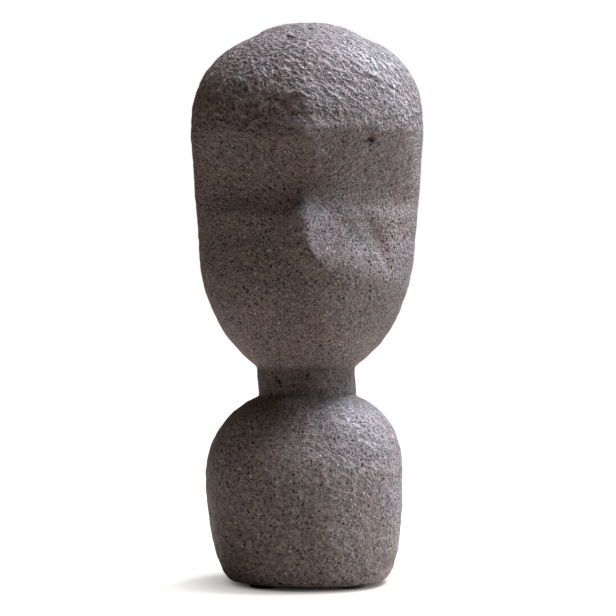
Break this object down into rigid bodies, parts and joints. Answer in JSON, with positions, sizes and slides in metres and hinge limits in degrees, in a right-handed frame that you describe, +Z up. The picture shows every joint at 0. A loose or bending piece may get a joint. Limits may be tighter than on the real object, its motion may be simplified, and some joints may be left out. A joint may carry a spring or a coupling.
{
  "type": "carved stone figure",
  "caption": "Carved volcanic-stone figure: a long head with an overhanging brow and keeled abstract face, a short neck and a rounded bust, standing on felt pads.",
  "frame": {"origin": "centre of the object's bounding box, on the surface that the felt pads stand on", "axes": "+Z up, the face looks along -Y, +X to the right of somebody who faces the figure"},
  "size_m": [0.169, 0.1473, 0.4],
  "materials": {
    "stone": "dull, fine-grained vesicular volcanic stone, brown-grey with small dark pores, pale mineral specks and chisel marks, slightly polished by handling on the high spots",
    "felt": "dense pressed wool felt, charcoal",
    "adhesive": "clear yellowish pressure-sensitive film"
  },
  "bodies": {
    "root": {"carved_stone": "stone", "felt_pad_front_left": "felt", "felt_pad_front_right": "felt", "felt_pad_rear_left": "felt", "felt_pad_rear_right": "felt", "adhesive_film_front_left": "adhesive", "adhesive_film_front_right": "adhesive", "adhesive_film_rear_left": "adhesive", "adhesive_film_rear_right": "adhesive"}
  },
  "joints": []
}
